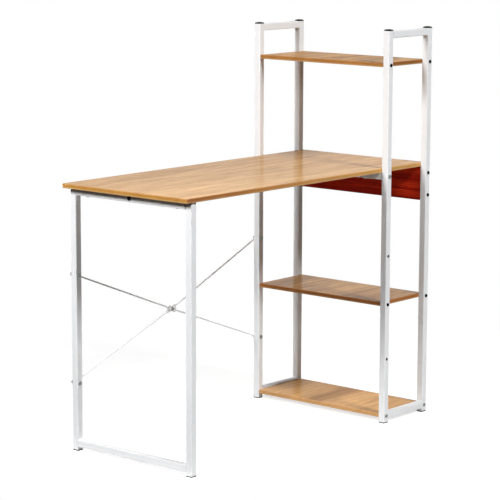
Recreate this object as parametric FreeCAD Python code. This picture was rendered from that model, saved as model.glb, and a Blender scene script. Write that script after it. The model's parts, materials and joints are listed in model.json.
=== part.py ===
import FreeCAD, Part
import math
import os
from collections import namedtuple

# A desk with a narrow shelf tower at its right end, in millimetres.
# +Z is up from the floor, +X runs along the desk towards the tower, +Y runs from the sitter to the back.
# The origin is on the floor, under the middle of the whole desk.

Vector = FreeCAD.Vector

# Boards
desk_length = 1020.0
board_depth = 450.0
board_thickness = 12.0
edge_band = 2.0
edge_flat = 0.1
desk_corner = 8.0
shelf_corner = 3.0
shelf_inset = 2.0
panel_height = 98.0
panel_corner = 2.2

# Top faces of the boards: heights above the floor, and the top shelf's drop below the post tops
desk_height = 733.0
middle_shelf_height = 351.0
bottom_shelf_height = 27.0
top_shelf_drop = 89.5

# Tube frames
tube_side = 20.0
tube_wall = 1.2
tube_corner = 2.0
tube_inner_corner = 0.8
tower_width = 204.0
post_top_height = 1118.5
bottom_rail_height = 11.0
left_frame_inset = 8.0
desk_overhang = 26.0
weld_leg = 3.0
weld_bulge = 0.35
rail_joint_gap = 1.2

# Plastic plugs in the tube ends
plug_gap = 0.15
plug_length = 14.0
cap_thickness = 4.8
cap_crown = 2.6
foot_thickness = 3.0
foot_round = 0.9

# Back brace
brace_top_height = 484.0
brace_bottom_height = 187.0
rod_diameter = 4.5
rod_flat = 0.2
tab_width = 13.0
tab_thickness = 3.0
tab_reach = 7.0
flat_reach = 15.0
rod_taper = 5.0
brace_centre_shift = 9.5
brace_centre_drop = 7.2

# Fasteners
head_round = 1.5
hole_play = 0.6
spare_hole = 9.0
wood_play = 0.2
thread_play = 0.2
shelf_screw_bite = 30.0
bolt_bite = 14.0
bolt_end_margin = 4.0
screw_tip_cover = 3.0
rail_screw_setback = 65.0
panel_screw_setback = 60.0
panel_screw_spacing = 64.0
sunk_screw_bite = 28.0
nut_width = 10.0
nut_height = 5.0
bolt_end = 1.2

# shank and head diameters, head height, width and depth of the driver socket
Screw = namedtuple("Screw", "shank head head_height socket socket_depth")
SHELF_SCREW = Screw(shank=5.0, head=9.6, head_height=2.8, socket=4.0, socket_depth=1.8)
FRAME_BOLT = Screw(shank=6.0, head=10.6, head_height=3.4, socket=4.0, socket_depth=2.2)
RAIL_SCREW = Screw(shank=4.0, head=8.2, head_height=2.4, socket=2.5, socket_depth=1.4)
SUNK_SCREW = Screw(shank=4.0, head=8.6, head_height=2.4, socket=2.5, socket_depth=1.4)

# Places worked out from the sizes above
brace_stack = tab_thickness + nut_height + bolt_end
front_reach = max(SHELF_SCREW.head_height, FRAME_BOLT.head_height)
back_reach = max(brace_stack, front_reach)
middle_y = (front_reach - back_reach) / 2
desk_left = -desk_length / 2
desk_right = desk_length / 2
desk_underside = desk_height - board_thickness
board_front = middle_y - board_depth / 2
board_back = middle_y + board_depth / 2
tower_left = desk_right - tower_width
left_post_x = tower_left + tube_side / 2
right_post_x = desk_right - tube_side / 2
front_post_y = board_front - tube_side / 2
back_post_y = board_back + tube_side / 2
leg_x = desk_left + desk_overhang + tube_side / 2
front_leg_y = board_front + left_frame_inset + tube_side / 2
back_leg_y = board_back - left_frame_inset - tube_side / 2
rail_under_desk_z = desk_underside - tube_side / 2
bottom_rail_z = bottom_rail_height + tube_side / 2
top_rail_z = post_top_height - tube_side / 2
rail_screw_ys = (board_front + rail_screw_setback, board_back - rail_screw_setback)
panel_screw_ys = (board_front + panel_screw_setback, board_back - panel_screw_setback)
panel_z = desk_underside - panel_height / 2
panel_screw_zs = (panel_z - panel_screw_spacing / 2, panel_z + panel_screw_spacing / 2)
brace_zs = (brace_bottom_height, brace_top_height)
brace_bend = Vector(brace_centre_shift, 0, -brace_centre_drop)
top_shelf_height = post_top_height - top_shelf_drop
shelf_heights = {"top": top_shelf_height, "middle": middle_shelf_height, "bottom": bottom_shelf_height}
shelf_screw_zs = {name: height - board_thickness / 2 for name, height in shelf_heights.items()}

ALONG_X = Vector(1, 0, 0)
ALONG_Y = Vector(0, 1, 0)
UP = Vector(0, 0, 1)


def placed(shape, point, direction):
    """Turn a shape's own +Z to a direction and move its origin to a point."""
    shape.Placement = FreeCAD.Placement(point, FreeCAD.Rotation(UP, direction))
    return shape


def upright_edges(solid):
    return [edge for edge in solid.Edges if abs(edge.tangentAt(edge.FirstParameter).z) > 0.99]


def rounded_block(width, depth, height, corner):
    """Block on the XY plane, centred on the Z axis, with its four upright edges rounded."""
    block = Part.makeBox(width, depth, height, Vector(-width / 2, -depth / 2, 0))
    return block.makeFillet(corner, upright_edges(block))


def square_tube(start, end):
    """Hollow square tube on the centre line between two points."""
    run = end - start
    bore_side = tube_side - 2 * tube_wall
    outer = rounded_block(tube_side, tube_side, run.Length, tube_corner)
    bore = rounded_block(bore_side, bore_side, run.Length, tube_inner_corner)
    return placed(outer.cut(bore), start, run)


def drilled(shape, diameter, points, direction, length):
    """Cut round holes that start at the points and run along a direction."""
    for point in points:
        shape = shape.cut(Part.makeCylinder(diameter / 2, length, point, direction))
    return shape


def drilled_through_tube(shape, diameter, centres, direction):
    """Cut round holes right through a tube, at points on its centre line."""
    starts = [centre - direction * tube_side for centre in centres]
    return drilled(shape, diameter, starts, direction, 2 * tube_side)


def hexagon(width, height):
    """Hexagonal prism of a width across flats, upwards from the XY plane."""
    radius = width / math.sqrt(3)
    angles = [math.radians(60 * corner) for corner in range(7)]
    points = [Vector(radius * math.cos(angle), radius * math.sin(angle), 0) for angle in angles]
    return Part.Face(Part.makePolygon(points)).extrude(Vector(0, 0, height))


def pan_screw(screw, seat, direction, length):
    """Screw with its head's underside at the seat and its shank along the direction."""
    head = Part.makeCylinder(screw.head / 2, screw.head_height, Vector(0, 0, -screw.head_height))
    rim = [edge for edge in head.Edges if edge.BoundBox.ZMax < -screw.head_height / 2]
    head = head.makeFillet(head_round, rim)
    socket = hexagon(screw.socket, screw.socket_depth)
    socket.translate(Vector(0, 0, -screw.head_height))
    shank = Part.makeCylinder(screw.shank / 2, length)
    return placed(head.cut(socket).fuse(shank), seat, direction)


def sunk_screw(screw, seat, direction, length):
    """Flat-headed screw whose head lies level with the seat."""
    cone = Part.makeCone(screw.head / 2, screw.shank / 2, screw.head_height)
    shank = Part.makeCylinder(screw.shank / 2, length)
    socket = hexagon(screw.socket, screw.socket_depth)
    return placed(cone.fuse(shank).cut(socket), seat, direction)


def save(name, *solids):
    shape = solids[0] if len(solids) == 1 else Part.makeCompound(list(solids))
    shape.exportStep("parts/" + name + ".step")


def flat_board(width, depth, corner):
    """Core and edge band of a board that lies on the XY plane, centred on the Z axis."""
    core_corner = corner - edge_band if corner > edge_band else corner / 2
    core = rounded_block(width - 2 * edge_band, depth - 2 * edge_band, board_thickness, core_corner)
    outside = rounded_block(width, depth, board_thickness, corner)
    rims = [edge for edge in outside.Edges if edge not in upright_edges(outside)]
    rounded = outside.makeFillet(edge_band - edge_flat, rims)
    return core, rounded.cut(core)


def moved(solid, x, y, z):
    solid.translate(Vector(x, y, z))
    return solid


def make_desktop():
    wood_screw_hole = RAIL_SCREW.shank + wood_play
    rail_points = [Vector(x, y, desk_underside) for x in (leg_x, left_post_x) for y in rail_screw_ys]
    core, band = (moved(piece, 0, middle_y, desk_underside)
                  for piece in flat_board(desk_length, board_depth, desk_corner))
    core = drilled(core, wood_screw_hole, rail_points, UP, board_thickness - screw_tip_cover)
    sink_radius = (SUNK_SCREW.head + wood_play) / 2
    hole_radius = (SUNK_SCREW.shank + wood_play) / 2
    for y in panel_screw_ys:
        top = Vector(right_post_x, y, desk_height)
        core = core.cut(Part.makeCone(sink_radius, hole_radius, SUNK_SCREW.head_height, top, -UP))
        core = core.cut(Part.makeCylinder(hole_radius, board_thickness, top, -UP))
    save("desktop", core)
    save("desktop_edge_band", band)


def make_shelf(name, height):
    shelf_width = tower_width - 2 * shelf_inset
    shelf_x = desk_right - tower_width / 2
    pieces = [moved(piece, shelf_x, middle_y, height - board_thickness)
              for piece in flat_board(shelf_width, board_depth, shelf_corner)]
    z = shelf_screw_zs[name]
    screws = []
    for x in (left_post_x, right_post_x):
        front_end = Vector(x, board_front, z)
        back_end = Vector(x, board_back, z)
        hole = SHELF_SCREW.shank + wood_play
        pieces = [drilled(piece, hole, [front_end], ALONG_Y, shelf_screw_bite) for piece in pieces]
        pieces = [drilled(piece, hole, [back_end], -ALONG_Y, shelf_screw_bite) for piece in pieces]
        screws += end_screws(x, z)
    save(name + "_shelf", pieces[0])
    save(name + "_shelf_edge_band", pieces[1])
    save(name + "_shelf_screws", *screws)


def end_screws(x, z):
    """The front and the back screw that go through the posts into a board's two ends."""
    length = tube_side + shelf_screw_bite
    front_seat = Vector(x, front_post_y - tube_side / 2, z)
    back_seat = Vector(x, back_post_y + tube_side / 2, z)
    return [pan_screw(SHELF_SCREW, front_seat, ALONG_Y, length),
            pan_screw(SHELF_SCREW, back_seat, -ALONG_Y, length)]


def make_panel():
    """Upright stiffening panel under the desktop, between the two right posts."""
    pieces = []
    for piece in flat_board(panel_height, board_depth, panel_corner):
        piece.rotate(Vector(0, 0, 0), ALONG_Y, 90)
        pieces.append(moved(piece, right_post_x - board_thickness / 2, middle_y, panel_z))
    screws = []
    hole = SHELF_SCREW.shank + wood_play
    for z in panel_screw_zs:
        front_end = Vector(right_post_x, board_front, z)
        back_end = Vector(right_post_x, board_back, z)
        pieces = [drilled(piece, hole, [front_end], ALONG_Y, shelf_screw_bite) for piece in pieces]
        pieces = [drilled(piece, hole, [back_end], -ALONG_Y, shelf_screw_bite) for piece in pieces]
        screws += end_screws(right_post_x, z)
    tops = [Vector(right_post_x, y, desk_underside) for y in panel_screw_ys]
    pieces = [drilled(piece, SUNK_SCREW.shank + wood_play, tops, -UP, sunk_screw_bite) for piece in pieces]
    heads = [Vector(right_post_x, y, desk_height) for y in panel_screw_ys]
    length = board_thickness + sunk_screw_bite
    save("stiffening_panel", pieces[0])
    save("stiffening_panel_edge_band", pieces[1])
    save("panel_screws", *screws)
    save("desktop_panel_screws", *[sunk_screw(SUNK_SCREW, head, -UP, length) for head in heads])


def make_tower_posts():
    screw_hole = SHELF_SCREW.shank + hole_play
    bolt_hole = FRAME_BOLT.shank + hole_play
    ends = (("front", front_post_y), ("rear", back_post_y))
    sides = (("left", left_post_x), ("right", right_post_x))
    posts = [(end + "_" + side, x, y) for end, y in ends for side, x in sides]
    for name, x, y in posts:
        post = square_tube(Vector(x, y, foot_thickness), Vector(x, y, post_top_height))
        shelf_points = [Vector(x, y, z) for z in shelf_screw_zs.values()]
        post = drilled_through_tube(post, screw_hole, shelf_points, ALONG_Y)
        if x == left_post_x:
            post = drilled_through_tube(post, bolt_hole, [Vector(x, y, rail_under_desk_z)], ALONG_Y)
            # the front post has wider spare holes at the heights of the brace's ends
            brace_hole = bolt_hole if y == back_post_y else spare_hole
            post = drilled_through_tube(post, brace_hole, [Vector(x, y, z) for z in brace_zs], ALONG_Y)
        else:
            panel_points = [Vector(x, y, z) for z in panel_screw_zs]
            post = drilled_through_tube(post, screw_hole, panel_points, ALONG_Y)
        save(name + "_post", post)
        make_cap(name + "_cap", x, y)
        make_foot(name + "_foot", x, y)


def make_tower_rails():
    start_x = tower_left + tube_side
    end_x = desk_right - tube_side
    for side, y in (("front", front_post_y), ("rear", back_post_y)):
        for level, z in (("top", top_rail_z), ("bottom", bottom_rail_z)):
            rail = square_tube(Vector(start_x, y, z), Vector(end_x, y, z))
            save("tower_{}_{}_rail".format(side, level), rail)


def make_left_frame():
    bolt_hole = FRAME_BOLT.shank + hole_play
    for name, y in (("left_front", front_leg_y), ("left_rear", back_leg_y)):
        leg = square_tube(Vector(leg_x, y, foot_thickness), Vector(leg_x, y, desk_underside))
        if y == back_leg_y:
            brace_points = [Vector(leg_x, y, z) for z in brace_zs]
            leg = drilled_through_tube(leg, bolt_hole, brace_points, ALONG_Y)
        save(name + "_leg", leg)
        make_foot(name + "_foot", leg_x, y)
    start_y = front_leg_y + tube_side / 2
    end_y = back_leg_y - tube_side / 2
    top_rail = square_tube(Vector(leg_x, start_y + rail_joint_gap, rail_under_desk_z),
                           Vector(leg_x, end_y - rail_joint_gap, rail_under_desk_z))
    bottom_rail = square_tube(Vector(leg_x, start_y, bottom_rail_z), Vector(leg_x, end_y, bottom_rail_z))
    save("left_top_rail", drilled_for_desktop(top_rail, leg_x))
    save("left_bottom_rail", bottom_rail)


def drilled_for_desktop(rail, x):
    """Holes in a rail under the desktop, for two desktop screws and the centre beam's bolt."""
    screw_points = [Vector(x, y, rail_under_desk_z) for y in rail_screw_ys]
    rail = drilled_through_tube(rail, RAIL_SCREW.shank + hole_play, screw_points, UP)
    middle = [Vector(x, middle_y, rail_under_desk_z)]
    return drilled_through_tube(rail, FRAME_BOLT.shank + hole_play, middle, ALONG_X)


def end_plug(end, inward):
    """Threaded plug in the end of a tube, flush with it; inward points into the tube."""
    side = tube_side - 2 * tube_wall - 2 * plug_gap
    length = bolt_bite + bolt_end_margin
    plug = rounded_block(side, side, length, tube_inner_corner)
    thread = Part.makeCylinder((FRAME_BOLT.shank + thread_play) / 2, length)
    return placed(plug.cut(thread), end, inward)


def make_under_desk_beams():
    """Cross rail between the left posts and centre beam from it to the left frame, with what holds them."""
    bolt_length = tube_side + bolt_bite
    z = rail_under_desk_z
    front_end = Vector(left_post_x, board_front, z)
    back_end = Vector(left_post_x, board_back, z)
    save("cross_rail", drilled_for_desktop(square_tube(front_end, back_end), left_post_x))
    save("cross_rail_end_plugs", end_plug(front_end, ALONG_Y), end_plug(back_end, -ALONG_Y))
    save("cross_rail_bolts",
         pan_screw(FRAME_BOLT, front_end - ALONG_Y * tube_side, ALONG_Y, bolt_length),
         pan_screw(FRAME_BOLT, back_end + ALONG_Y * tube_side, -ALONG_Y, bolt_length))
    left_end = Vector(leg_x + tube_side / 2, middle_y, z)
    right_end = Vector(tower_left, middle_y, z)
    save("centre_beam", square_tube(left_end, right_end))
    save("centre_beam_end_plugs", end_plug(left_end, ALONG_X), end_plug(right_end, -ALONG_X))
    save("centre_beam_bolts",
         pan_screw(FRAME_BOLT, left_end - ALONG_X * tube_side, ALONG_X, bolt_length),
         pan_screw(FRAME_BOLT, right_end + ALONG_X * tube_side, -ALONG_X, bolt_length))
    screw_length = tube_side + board_thickness - screw_tip_cover
    for name, x in (("left_rail_screws", leg_x), ("cross_rail_screws", left_post_x)):
        seats = [Vector(x, y, desk_underside - tube_side) for y in rail_screw_ys]
        save(name, *[pan_screw(RAIL_SCREW, seat, UP, screw_length) for seat in seats])


def tube_plug():
    """Stem of a plastic cap or foot, pushed into a tube end; it hangs below the XY plane."""
    side = tube_side - 2 * tube_wall - 2 * plug_gap
    return moved(rounded_block(side, side, plug_length, tube_inner_corner), 0, 0, -plug_length)


def make_cap(name, x, y):
    """Cap with a crowned top on a post."""
    flange = rounded_block(tube_side, tube_side, cap_thickness, tube_corner)
    reach = tube_side * math.sqrt(0.5)
    ball_radius = (reach ** 2 + cap_crown ** 2) / (2 * cap_crown)
    ball = Part.makeSphere(ball_radius, Vector(0, 0, cap_thickness - ball_radius))
    save(name, moved(flange.common(ball).fuse(tube_plug()), x, y, post_top_height))


def make_foot(name, x, y):
    """Foot plug with a rounded rim under a leg or post."""
    pad = rounded_block(tube_side, tube_side, foot_thickness, tube_corner)
    rim = [edge for edge in pad.Edges if edge.BoundBox.ZMin > foot_thickness / 2]
    pad = pad.makeFillet(foot_round, rim)
    foot = pad.fuse(tube_plug())
    foot.rotate(Vector(0, 0, 0), ALONG_X, 180)
    save(name, moved(foot, x, y, foot_thickness))


def weld_bead(corner, along, out_a, out_b):
    """Fillet weld in the corner of two tubes: it runs along one direction and its legs along two others."""
    length = tube_side - 2 * tube_corner
    start = corner - along * (length / 2)
    tip_a = start + out_a * weld_leg
    tip_b = start + out_b * weld_leg
    crown = (tip_a + tip_b) * 0.5 + (out_a + out_b) * weld_bulge
    edges = [Part.LineSegment(start, tip_a).toShape(), Part.Arc(tip_a, crown, tip_b).toShape(),
             Part.LineSegment(tip_b, start).toShape()]
    return Part.Face(Part.Wire(edges)).extrude(along * length)


def rail_welds(ends, along, top_z, bottom_z, over_top):
    """Beads under a rail, and over it if wanted; ends pairs each end point with the way into the rail."""
    beads = []
    for point, inward in ends:
        beads.append(weld_bead(Vector(point.x, point.y, bottom_z), along, inward, -UP))
        if over_top:
            beads.append(weld_bead(Vector(point.x, point.y, top_z), along, inward, UP))
    return beads


def make_welds():
    tower_beads = []
    for y in (front_post_y, back_post_y):
        ends = [(Vector(tower_left + tube_side, y, 0), ALONG_X),
                (Vector(desk_right - tube_side, y, 0), -ALONG_X)]
        tower_beads += rail_welds(ends, ALONG_Y, post_top_height, post_top_height - tube_side, False)
        tower_beads += rail_welds(ends, ALONG_Y, bottom_rail_height + tube_side, bottom_rail_height, True)
    start = Vector(leg_x, front_leg_y + tube_side / 2, 0)
    end = Vector(leg_x, back_leg_y - tube_side / 2, 0)
    ends = [(start, ALONG_Y), (end, -ALONG_Y)]
    left_beads = rail_welds(ends, ALONG_X, desk_underside, desk_underside - tube_side, False)
    left_beads += rail_welds(ends, ALONG_X, bottom_rail_height + tube_side, bottom_rail_height, True)
    save("tower_welds", *tower_beads)
    save("left_frame_welds", *left_beads)


def rod_section(centre, side, width, thickness):
    """Outline of a rod, square to it: two half rounds with flats between; side points to a half round."""
    flat_half = (width - thickness) / 2
    depth = ALONG_Y * (thickness / 2)
    front_a = centre + side * flat_half - depth
    back_a = centre + side * flat_half + depth
    front_b = centre - side * flat_half - depth
    back_b = centre - side * flat_half + depth
    end_a = centre + side * (flat_half + thickness / 2)
    end_b = centre - side * (flat_half + thickness / 2)
    curves = [Part.Arc(front_a, end_a, back_a), Part.LineSegment(back_a, back_b),
              Part.Arc(back_b, end_b, front_b), Part.LineSegment(front_b, front_a)]
    return Part.Wire([curve.toShape() for curve in curves])


def brace_rod(left_hole, right_hole, centre_offset):
    """Round rod, pressed flat at both ends and bent a little at its flat middle, with a hole in each flat."""
    centre = (left_hole + right_hole) * 0.5 + brace_bend + ALONG_Y * centre_offset
    in_plane = Vector(right_hole.x - left_hole.x, 0, right_hole.z - left_hole.z)
    reach = in_plane.Length / 2
    along = in_plane.normalize()
    side = Vector(-along.z, 0, along.x)
    stations = [(-reach, True), (tab_reach - reach, True), (tab_reach + rod_taper - reach, False),
                (-flat_reach - rod_taper, False), (-flat_reach, True)]
    stations += [(-place, pressed) for place, pressed in reversed(stations)]
    wires = []
    for place, pressed in stations:
        hole = left_hole if place < 0 else right_hole
        share = (abs(place) - flat_reach) / (reach - tab_reach - flat_reach)
        share = min(max(share, 0), 1)
        point = centre + along * place - brace_bend * share
        point.y = centre.y + (hole.y - centre.y) * share
        width = tab_width if pressed else rod_diameter + rod_flat
        thickness = tab_thickness if pressed else rod_diameter
        wires.append(rod_section(point, side, width, thickness))
    rod = Part.makeLoft(wires, True, True)
    depth = ALONG_Y * (tab_thickness / 2)
    for hole in (left_hole, right_hole):
        rod = rod.fuse(Part.makeCylinder(tab_width / 2, tab_thickness, hole - depth, ALONG_Y))
    starts = [point - ALONG_Y * rod_diameter for point in (left_hole, centre, right_hole)]
    return drilled(rod, FRAME_BOLT.shank + hole_play, starts, ALONG_Y, 2 * rod_diameter)


def hex_nut(seat, direction):
    nut = hexagon(nut_width, nut_height)
    thread = Part.makeCylinder((FRAME_BOLT.shank + thread_play) / 2, nut_height)
    return placed(nut.cut(thread), seat, direction)


def make_brace():
    left_y = back_leg_y + tube_side / 2
    right_y = back_post_y + tube_side / 2
    tab_middle = tab_thickness / 2
    left = {z: Vector(leg_x, left_y + tab_middle, z) for z in brace_zs}
    right = {z: Vector(left_post_x, right_y + tab_middle, z) for z in brace_zs}
    falling = brace_rod(left[brace_top_height], right[brace_bottom_height], -tab_middle)
    rising = brace_rod(left[brace_bottom_height], right[brace_top_height], tab_middle)
    save("rear_brace_falling_rod", falling)
    save("rear_brace_rising_rod", rising)
    bolts = []
    nuts = []
    for x, post_y in ((leg_x, back_leg_y), (left_post_x, back_post_y)):
        for z in brace_zs:
            seat = Vector(x, post_y - tube_side / 2, z)
            bolts.append(pan_screw(FRAME_BOLT, seat, ALONG_Y, tube_side + brace_stack))
            nuts.append(hex_nut(seat + ALONG_Y * (tube_side + tab_thickness), ALONG_Y))
    save("rear_brace_end_bolts", *bolts)
    save("rear_brace_end_nuts", *nuts)
    crossing = (left[brace_top_height] + right[brace_bottom_height]) * 0.5 + brace_bend
    front = crossing - ALONG_Y * tab_thickness
    save("rear_brace_centre_bolt", pan_screw(FRAME_BOLT, front, ALONG_Y, tab_thickness + brace_stack))
    save("rear_brace_centre_nut", hex_nut(crossing + ALONG_Y * tab_thickness, ALONG_Y))


os.makedirs("parts", exist_ok=True)
make_desktop()
for shelf_name, shelf_height in shelf_heights.items():
    make_shelf(shelf_name, shelf_height)
make_panel()
make_left_frame()
make_tower_posts()
make_tower_rails()
make_under_desk_beams()
make_welds()
make_brace()
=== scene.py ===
import json
import math

import bpy
from mathutils import Matrix, Vector


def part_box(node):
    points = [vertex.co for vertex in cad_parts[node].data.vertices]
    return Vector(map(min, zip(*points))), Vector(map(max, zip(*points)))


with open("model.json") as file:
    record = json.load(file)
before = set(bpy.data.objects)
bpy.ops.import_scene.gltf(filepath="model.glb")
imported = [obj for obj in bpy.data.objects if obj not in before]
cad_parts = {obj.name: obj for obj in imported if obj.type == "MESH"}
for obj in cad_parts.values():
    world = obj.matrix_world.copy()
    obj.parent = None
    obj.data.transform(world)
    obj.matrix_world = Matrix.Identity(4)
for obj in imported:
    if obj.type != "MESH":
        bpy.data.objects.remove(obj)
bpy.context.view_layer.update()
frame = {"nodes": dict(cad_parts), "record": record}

# The desk stands on z = 0, with its tower towards +X and the sitter on the -Y side. Lengths are in metres and
# colours are linear. A pair of tones is a light one and a dark one.
nodes = frame["nodes"]

# Camera, in a square frame, with its angles in radians
FRAME_PIXELS = 500
FOCAL_PIXELS = 2162.9
SENSOR_WIDTH = 36.0
CLIP_END = 100.0
CAMERA_PLACE = Vector((-4.5197, -3.8572, 1.5121))
CAMERA_YAW = 0.8648
CAMERA_PITCH = -0.1664
CAMERA_ROLL = 0.0035

# Lamps, all aimed at one point: place, width, height and power in watts
LAMP_TARGET = Vector((0.0, 0.0, 0.6))
LAMPS = {
    "key": ((-5.0, 0.44, 4.1), 0.5, 1.0, 147.0),
    "low_key": ((-2.4, 0.25, 1.8), 0.4, 0.4, 23.0),
    "side": ((-4.8, 1.2, 3.3), 1.5, 1.5, 69.0),
    "front": ((-0.3, -5.0, 4.72), 1.4, 1.4, 346.0),
    "corner": ((-4.42, -3.09, 3.23), 0.9, 0.9, 62.0),
    "right_fill": ((4.5, 1.3, 0.15), 1.5, 0.25, 66.0),
    "back_fill": ((1.3, 4.5, 0.15), 1.5, 0.25, 66.0),
}

# World: it looks white, and lights the desk by a weak glow that grows over this range of a ray's Y
WHITE = (1.0, 1.0, 1.0, 1.0)
GLOW_RANGE = (-0.1, 0.6)
GLOW = (0.0, 0.075)

# Floor: its sides, its tones, and the glow that lifts it towards white
FLOOR_X = (-0.52, 1.6)
FLOOR_Y = (-1.2, 1.2)
FLOOR_TONES = ((0.53, 0.53, 0.53), (0.51, 0.51, 0.51))
FLOOR_LIFT = 0.72

# Spans of noise over which a look changes: for most looks, the wood's figure and pores, and worn plastic
NOISE_SPAN = (0.3, 0.7)
FIGURE_SPAN = (0.40, 0.60)
PORE_SPAN = (0.58, 0.72)
PLASTIC_SPAN = (0.35, 0.75)

# Index of refraction of coat, laminate and plastic
IOR = 1.5

# Powder coat on the tubes, and inside the upright ones, up to the rims of their holes, bare steel darkened to
# near black: partly bare steel, partly painted shade inside the tube
COAT_TONES = ((0.831, 0.84, 0.85), (0.793, 0.80, 0.81))
BORE_STEEL_AND_SHADE_TONES = ((0.028, 0.027, 0.027), (0.016, 0.016, 0.017))
BORE_ROUGHER = 0.4
BORE_HALF = 0.0091
UPRIGHT_TUBES = ("front_left_post", "front_right_post", "rear_left_post", "rear_right_post", "left_front_leg",
                 "left_rear_leg")

# Black plastic and fastener steel
PLASTIC_TONES = ((0.014, 0.014, 0.0145), (0.006, 0.006, 0.0065))
BLACK_STEEL = ((0.010, 0.010, 0.010), (0.004, 0.004, 0.004))
ZINC_STEEL = ((0.28, 0.30, 0.275), (0.16, 0.18, 0.165))
BRONZE_STEEL = ((0.11, 0.065, 0.032), (0.06, 0.035, 0.018))

# Wood print: tones of the boards' faces, and the colour of their pores
OAK = ((0.755, 0.462, 0.212), (0.43, 0.230, 0.086))
SHELF_OAK = ((0.82, 0.465, 0.180), (0.34, 0.160, 0.048))
TOP_OAK = ((0.755, 0.425, 0.167), (0.325, 0.150, 0.046))
OAK_PORE = (0.30, 0.15, 0.05)
RED = ((0.75, 0.046, 0.012), (0.355, 0.0085, 0.0015))
RED_PORE = (0.10, 0.002, 0.001)
RED_EDGE = ((0.20, 0.012, 0.006), (0.12, 0.004, 0.002))
RED_EDGE_PORE = (0.05, 0.002, 0.001)
WOOD_ROUGHNESS = (0.11, 0.19)

# Wood figure: pitch of each layer per metre, along and across the grain
PLANK_PITCH = (0.9, 7.0)
STREAK_PITCH = (5.5, 48.0)
LINE_PITCH = (9.0, 210.0)
PANEL_LINE_PITCH = (2.5, 190.0)
FIBRE_PITCH = (26.0, 1100.0)
PORE_PITCH = (60.0, 2300.0)

# Wood figure: weights of its planks, streaks, lines and fibres
BOARD_SHARES = (0.28, 0.40, 0.22, 0.10)
SHELF_SHARES = (0.50, 0.32, 0.10, 0.08)
PANEL_SHARES = (0.10, 0.12, 0.70, 0.08)

# The desktop's figure: the set of planks it shows, and a painted fall-off of light in its tone, lighter at
# the front and darker at the back
DESK_SHIFT = 7.4
DESK_PAINTED_FALLOFF = 0.03
PAINTED_FALLOFF_RANGE = (-0.25, 0.25)

# Edge bands: tones of their faces, with painted light: faces that look to the sides get their own tone, and
# along a front the tone blends from left to right over this range of x, which on the desktop paints light
# growing from left to right
EDGE_PAINTED_LIGHT_RANGE = (-0.42, 0.20)
TOP_FRONT = ((0.29, 0.110, 0.027), (0.215, 0.075, 0.015))
EDGE_TONES = {
    "desktop": {"left": ((0.39, 0.155, 0.048), (0.31, 0.107, 0.028)),
                "right": ((0.63, 0.340, 0.115), (0.52, 0.255, 0.072)),
                "end": ((0.52, 0.260, 0.062), (0.40, 0.175, 0.034))},
    "top_shelf": {"left": TOP_FRONT,
                  "right": TOP_FRONT,
                  "end": ((0.42, 0.185, 0.052), (0.325, 0.130, 0.033))},
    "middle_shelf": ((0.39, 0.145, 0.045), (0.33, 0.115, 0.032)),
    "bottom_shelf": ((0.61, 0.340, 0.150), (0.51, 0.265, 0.105)),
}
EDGE_PORE = (0.16, 0.06, 0.012)

# Painted highlight along their bottom and top arrises: a pale tone, stronger below than above, for light
# caught on the arrises and reflected from the floor
ARRIS_HIGHLIGHT = (0.80, 0.56, 0.28, 1.0)
ARRIS_WIDTH = 0.005
LOWER_HIGHLIGHT = 0.55
UPPER_HIGHLIGHT = 0.10


class Nodes:
    """Short ways to add nodes to a tree."""

    def __init__(self, tree):
        self.tree = tree

    def add(self, kind, inputs=None, **settings):
        """A new node, with its settings, and with each named input set to a value or linked to a socket."""
        node = self.tree.nodes.new(kind)
        for name, value in settings.items():
            setattr(node, name, value)
        for name, value in (inputs or {}).items():
            self.set(node.inputs[name], value)
        return node

    def set(self, socket, value):
        if isinstance(value, bpy.types.NodeSocket):
            self.tree.links.new(value, socket)
        else:
            socket.default_value = value

    def split(self, vector):
        """The X, Y and Z of a vector, by name."""
        return self.add("ShaderNodeSeparateXYZ", {"Vector": vector}).outputs

    def math(self, operation, first, second=0.0):
        return self.add("ShaderNodeMath", {0: first, 1: second}, operation=operation).outputs[0]

    def spread(self, value, old, new=(0.0, 1.0)):
        """Map a range of a value to a new range, held at its ends."""
        node = self.add("ShaderNodeMapRange", {"Value": value, "From Min": old[0], "From Max": old[1],
                                               "To Min": new[0], "To Max": new[1]})
        return node.outputs["Result"]

    def mix(self, factor, first, second):
        """Blend two colours, whose sockets on the node are numbers 6 and 7, and 2 for the result."""
        return self.add("ShaderNodeMix", {0: factor, 6: first, 7: second}, data_type="RGBA").outputs[2]

    def seen(self):
        """1 for rays that show the background: straight from the camera, or off gloss or through glass."""
        path = self.add("ShaderNodeLightPath").outputs
        either = self.math("MAXIMUM", path["Is Camera Ray"], path["Is Glossy Ray"])
        return self.math("MAXIMUM", either, path["Is Transmission Ray"])


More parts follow.
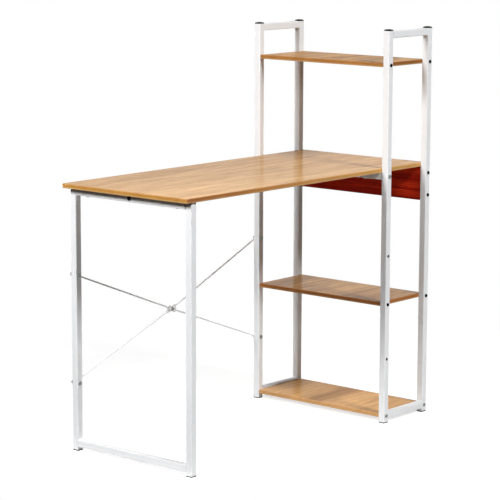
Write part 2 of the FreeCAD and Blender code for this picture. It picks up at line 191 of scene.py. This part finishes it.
class Surface(Nodes):
    """A new material with a Principled shader, and the textures that its looks are made of."""

    def __init__(self, name):
        self.material = bpy.data.materials.new(name)
        self.material.use_nodes = True
        super().__init__(self.material.node_tree)
        self.shader = self.tree.nodes["Principled BSDF"]
        self.place = self.add("ShaderNodeTexCoord").outputs["Object"]

    def look(self, **values):
        """Set inputs of the shader, with _ for each space in their names."""
        for name, value in values.items():
            self.set(self.shader.inputs[name.replace("_", " ")], value)

    def stretched(self, pitch, axis, shift=0.0):
        """Object coordinates times one scale along an axis and another across it, then moved along Y."""
        along, across = pitch
        scale = [across] * 3
        scale[axis] = along
        mapping = self.add("ShaderNodeMapping", {"Vector": self.place, "Scale": scale,
                                                 "Location": (0.0, shift, 0.0)})
        return mapping.outputs["Vector"]

    def noise(self, vector, detail, scale=1.0, roughness=0.5, distortion=0.0):
        node = self.add("ShaderNodeTexNoise", {"Vector": vector, "Scale": scale, "Detail": detail,
                                               "Roughness": roughness, "Distortion": distortion})
        return node.outputs["Fac"]

    def blend(self, value, tones, span=NOISE_SPAN):
        """The dark of two tones below a span of a value, the light one above it and a blend between."""
        light, dark = tones
        node = self.add("ShaderNodeValToRGB", {"Fac": value})
        for element, place, colour in zip(node.color_ramp.elements, span, (dark, light)):
            element.position = place
            element.color = (*colour, 1.0)
        return node.outputs["Color"]

    def bump(self, height, distance, strength):
        node = self.add("ShaderNodeBump", {"Height": height, "Distance": distance, "Strength": strength})
        self.look(Normal=node.outputs["Normal"])


def powder_coat(name, bore=None):
    """Satin white coat with a faint orange peel and barely uneven tone.

    Bore is the x and y of an upright tube's middle line: around it the inside of the tube is bare steel,
    darkened to near black as painted shade inside the tube.
    """
    surface = Surface(name)
    cloud = surface.noise(surface.place, scale=9.0, detail=2.0)
    peel = surface.noise(surface.place, scale=620.0, detail=1.0)
    tone = surface.blend(cloud, COAT_TONES)
    rough = surface.spread(peel, NOISE_SPAN, (0.34, 0.44))
    if bore:
        place = surface.split(surface.place)
        offsets = [surface.math("ABSOLUTE", surface.math("SUBTRACT", place[axis], middle))
                   for axis, middle in zip("XY", bore)]
        inside = surface.math("LESS_THAN", surface.math("MAXIMUM", *offsets), BORE_HALF)
        # Inside the tube: bare steel, darkened to near black as painted shade
        tone = surface.mix(inside, tone, surface.blend(cloud, BORE_STEEL_AND_SHADE_TONES))
        rough = surface.math("ADD", rough, surface.math("MULTIPLY", inside, BORE_ROUGHER))
    surface.look(Base_Color=tone, Roughness=rough, IOR=IOR, Specular_IOR_Level=0.18)
    surface.bump(peel, distance=0.00012, strength=0.5)
    return surface.material


def wood(name, tones, pore, axis=0, shine=0.02, pore_share=0.5, shares=BOARD_SHARES, lines=LINE_PITCH,
         painted_falloff=0.0, shift=0.0, arris=None):
    """Wood-print laminate with its grain along an axis, 0 for X and 1 for Y.

    Tones is a pair, or a dict of pairs that paints light by place and facing: "left" and "right" blend along
    the length of the faces that look to the front and back, and "end" is for the faces that look to the
    sides. Shares weigh the figure's planks, streaks, lines and fibres, and lines is the pitch of the lines.
    The painted fall-off is how far the figure is lightened towards the front and darkened towards the back,
    as painted light, and shift picks another set of planks. Arris is the low and high z of an edge band,
    along whose bottom and top edges a pale painted highlight is laid.
    """
    surface = Surface(name)
    place = surface.split(surface.place)
    plank = surface.noise(surface.stretched(PLANK_PITCH, axis, shift), detail=2.0)
    streak = surface.noise(surface.stretched(STREAK_PITCH, axis), detail=4.0, roughness=0.65, distortion=0.6)
    line = surface.noise(surface.stretched(lines, axis), detail=3.0, roughness=0.6)
    fibre = surface.noise(surface.stretched(FIBRE_PITCH, axis), detail=2.0)
    dash = surface.noise(surface.stretched(PORE_PITCH, axis), detail=1.0)
    layers = [surface.math("MULTIPLY", layer, share)
              for layer, share in zip((plank, streak, line, fibre), shares)]
    # Painted fall-off of light: the figure lightens towards the front and darkens towards the back
    if painted_falloff:
        layers.append(surface.spread(place["Y"], PAINTED_FALLOFF_RANGE, (painted_falloff, -painted_falloff)))
    figure = layers[0]
    for layer in layers[1:]:
        figure = surface.math("ADD", figure, layer)

    # Painted light: faces that look to the sides get their own tone, and along a front the tone lightens from
    # left to right
    if isinstance(tones, dict):
        left, right, end = [surface.blend(figure, tones[side], FIGURE_SPAN)
                            for side in ("left", "right", "end")]
        facing = surface.split(surface.add("ShaderNodeNewGeometry").outputs["Normal"])
        front = surface.mix(surface.spread(place["X"], EDGE_PAINTED_LIGHT_RANGE), left, right)
        tone = surface.mix(surface.math("ABSOLUTE", facing["X"]), front, end)
    else:
        tone = surface.blend(figure, tones, FIGURE_SPAN)
    # Painted highlight: a pale tone along the bottom and top arrises of an edge band
    if arris:
        low, high = arris
        lower = surface.spread(place["Z"], (low, low + ARRIS_WIDTH), (LOWER_HIGHLIGHT, 0.0))
        upper = surface.spread(place["Z"], (high - ARRIS_WIDTH, high), (0.0, UPPER_HIGHLIGHT))
        tone = surface.mix(surface.math("ADD", lower, upper), tone, ARRIS_HIGHLIGHT)
    pores = surface.spread(dash, PORE_SPAN, (0.0, pore_share))
    surface.look(Base_Color=surface.mix(pores, tone, (*pore, 1.0)), IOR=IOR, Specular_IOR_Level=shine,
                 Roughness=surface.spread(fibre, NOISE_SPAN, WOOD_ROUGHNESS))
    surface.bump(surface.math("SUBTRACT", fibre, pores), distance=0.00006, strength=0.35)
    return surface.material


def black_plastic():
    """Moulded black plastic with a fine spark-eroded texture."""
    surface = Surface("black_plastic")
    grain = surface.noise(surface.place, scale=1400.0, detail=2.0)
    wear = surface.noise(surface.place, scale=45.0, detail=3.0)
    surface.look(Base_Color=surface.blend(wear, PLASTIC_TONES, PLASTIC_SPAN), IOR=IOR,
                 Roughness=surface.spread(wear, NOISE_SPAN, (0.36, 0.46)), Specular_IOR_Level=0.02)
    surface.bump(grain, distance=0.00008, strength=0.4)
    return surface.material


def plated_steel(name, tones, metallic, rough, shine=0.5):
    """Fastener steel, with faint turning marks and an uneven plating tone."""
    surface = Surface(name)
    patch = surface.noise(surface.place, scale=260.0, detail=3.0)
    mark = surface.noise(surface.place, scale=1800.0, detail=1.0)
    surface.look(Base_Color=surface.blend(patch, tones), Metallic=metallic, Specular_IOR_Level=shine,
                 Roughness=surface.spread(mark, NOISE_SPAN, (rough - 0.05, rough + 0.07)))
    surface.bump(mark, distance=0.00004, strength=0.4)
    return surface.material


def dress():
    """Give every node of the frame a material: that of its own name, or else that of its slot."""
    materials = {
        "white_coat": powder_coat("white_powder_coat"),
        "oak_face": wood("oak_face", OAK, OAK_PORE, shine=0.007, painted_falloff=DESK_PAINTED_FALLOFF, shift=DESK_SHIFT),
        "middle_shelf": wood("oak_shelf", SHELF_OAK, OAK_PORE, shine=0.017, shares=SHELF_SHARES),
        "top_shelf": wood("oak_top_shelf", TOP_OAK, OAK_PORE, shine=0.0005),
        "red_face": wood("red_face", RED, RED_PORE, axis=1, pore_share=0.8, shares=PANEL_SHARES,
                         lines=PANEL_LINE_PITCH),
        "red_edge": wood("red_edge", RED_EDGE, RED_EDGE_PORE, axis=1),
        "black_plastic": black_plastic(),
        "black_steel": plated_steel("black_steel", BLACK_STEEL, metallic=0.0, rough=0.36, shine=0.04),
        "zinc_steel": plated_steel("zinc_steel", ZINC_STEEL, metallic=0.9, rough=0.36),
        "bronze_steel": plated_steel("bronze_steel", BRONZE_STEEL, metallic=0.3, rough=0.55),
    }
    materials["bottom_shelf"] = materials["middle_shelf"]
    for board, tones in EDGE_TONES.items():
        low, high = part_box(board)
        materials[board + "_edge_band"] = wood(board + "_edge", tones, EDGE_PORE, arris=(low[2], high[2]))
    for tube in UPRIGHT_TUBES:
        low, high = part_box(tube)
        middle = [(low[axis] + high[axis]) / 2 for axis in (0, 1)]
        materials[tube] = powder_coat(tube + "_coat", middle)
    for entry in frame["record"]["subparts"]:
        name = entry["node"]
        piece = nodes[name]
        piece.data.materials.clear()
        piece.data.materials.append(materials[name if name in materials else entry["material_slot"]])


def make_floor():
    """Pale floor that keeps the shadow."""
    (left, right), (front, back) = FLOOR_X, FLOOR_Y
    mesh = bpy.data.meshes.new("floor")
    corners = [(x, y, 0.0) for x, y in ((left, front), (right, front), (right, back), (left, back))]
    mesh.from_pydata(corners, [], [(0, 1, 2, 3)])
    floor = bpy.data.objects.new("floor", mesh)
    bpy.context.scene.collection.objects.link(floor)
    surface = Surface("pale_floor")
    shade = surface.noise(surface.place, scale=3.0, detail=2.0)
    lift = surface.math("MULTIPLY", surface.seen(), FLOOR_LIFT)
    surface.look(Base_Color=surface.blend(shade, FLOOR_TONES), Roughness=0.9, Specular_IOR_Level=0.0,
                 Emission_Color=WHITE, Emission_Strength=lift)
    mesh.materials.append(surface.material)


def make_world():
    """World that is white for the rays that show it, and glows weakly from behind for the others."""
    world = bpy.data.worlds.new("studio")
    bpy.context.scene.world = world
    world.use_nodes = True
    sky = Nodes(world.node_tree)
    background = sky.tree.nodes["Background"]
    direction = sky.split(sky.add("ShaderNodeTexCoord").outputs["Generated"])
    glow = sky.spread(direction["Y"], GLOW_RANGE, GLOW)
    sky.set(background.inputs["Color"], WHITE)
    sky.set(background.inputs["Strength"], sky.spread(sky.seen(), (0.0, 1.0), (glow, 1.0)))


def make_lamps():
    """Soft area lamps around the desk."""
    for name, (place, width, height, power) in LAMPS.items():
        lamp = bpy.data.lights.new(name, "AREA")
        lamp.shape = "RECTANGLE"
        lamp.size = width
        lamp.size_y = height
        lamp.energy = power
        turn = (LAMP_TARGET - Vector(place)).to_track_quat("-Z", "Y").to_matrix()
        holder = bpy.data.objects.new(name, lamp)
        holder.matrix_world = Matrix.Translation(place) @ turn.to_4x4()
        bpy.context.scene.collection.objects.link(holder)


def make_camera():
    """Camera turned from +Y by its yaw towards +X, then by its pitch and roll."""
    lens = bpy.data.cameras.new("camera")
    lens.sensor_width = SENSOR_WIDTH
    lens.lens = FOCAL_PIXELS / FRAME_PIXELS * SENSOR_WIDTH
    lens.clip_end = CLIP_END
    camera = bpy.data.objects.new("camera", lens)
    level = Vector((math.cos(CAMERA_YAW), -math.sin(CAMERA_YAW), 0.0))
    forward = Vector((math.sin(CAMERA_YAW) * math.cos(CAMERA_PITCH),
                      math.cos(CAMERA_YAW) * math.cos(CAMERA_PITCH),
                      math.sin(CAMERA_PITCH)))
    upward = level.cross(forward)
    right = level * math.cos(CAMERA_ROLL) + upward * math.sin(CAMERA_ROLL)
    up = upward * math.cos(CAMERA_ROLL) - level * math.sin(CAMERA_ROLL)
    turn = Matrix((right, up, -forward)).transposed()
    camera.matrix_world = Matrix.Translation(CAMERA_PLACE) @ turn.to_4x4()
    bpy.context.scene.collection.objects.link(camera)
    bpy.context.scene.camera = camera


dress()
make_floor()
make_world()
make_lamps()
make_camera()
bpy.context.scene.view_settings.view_transform = "Standard"
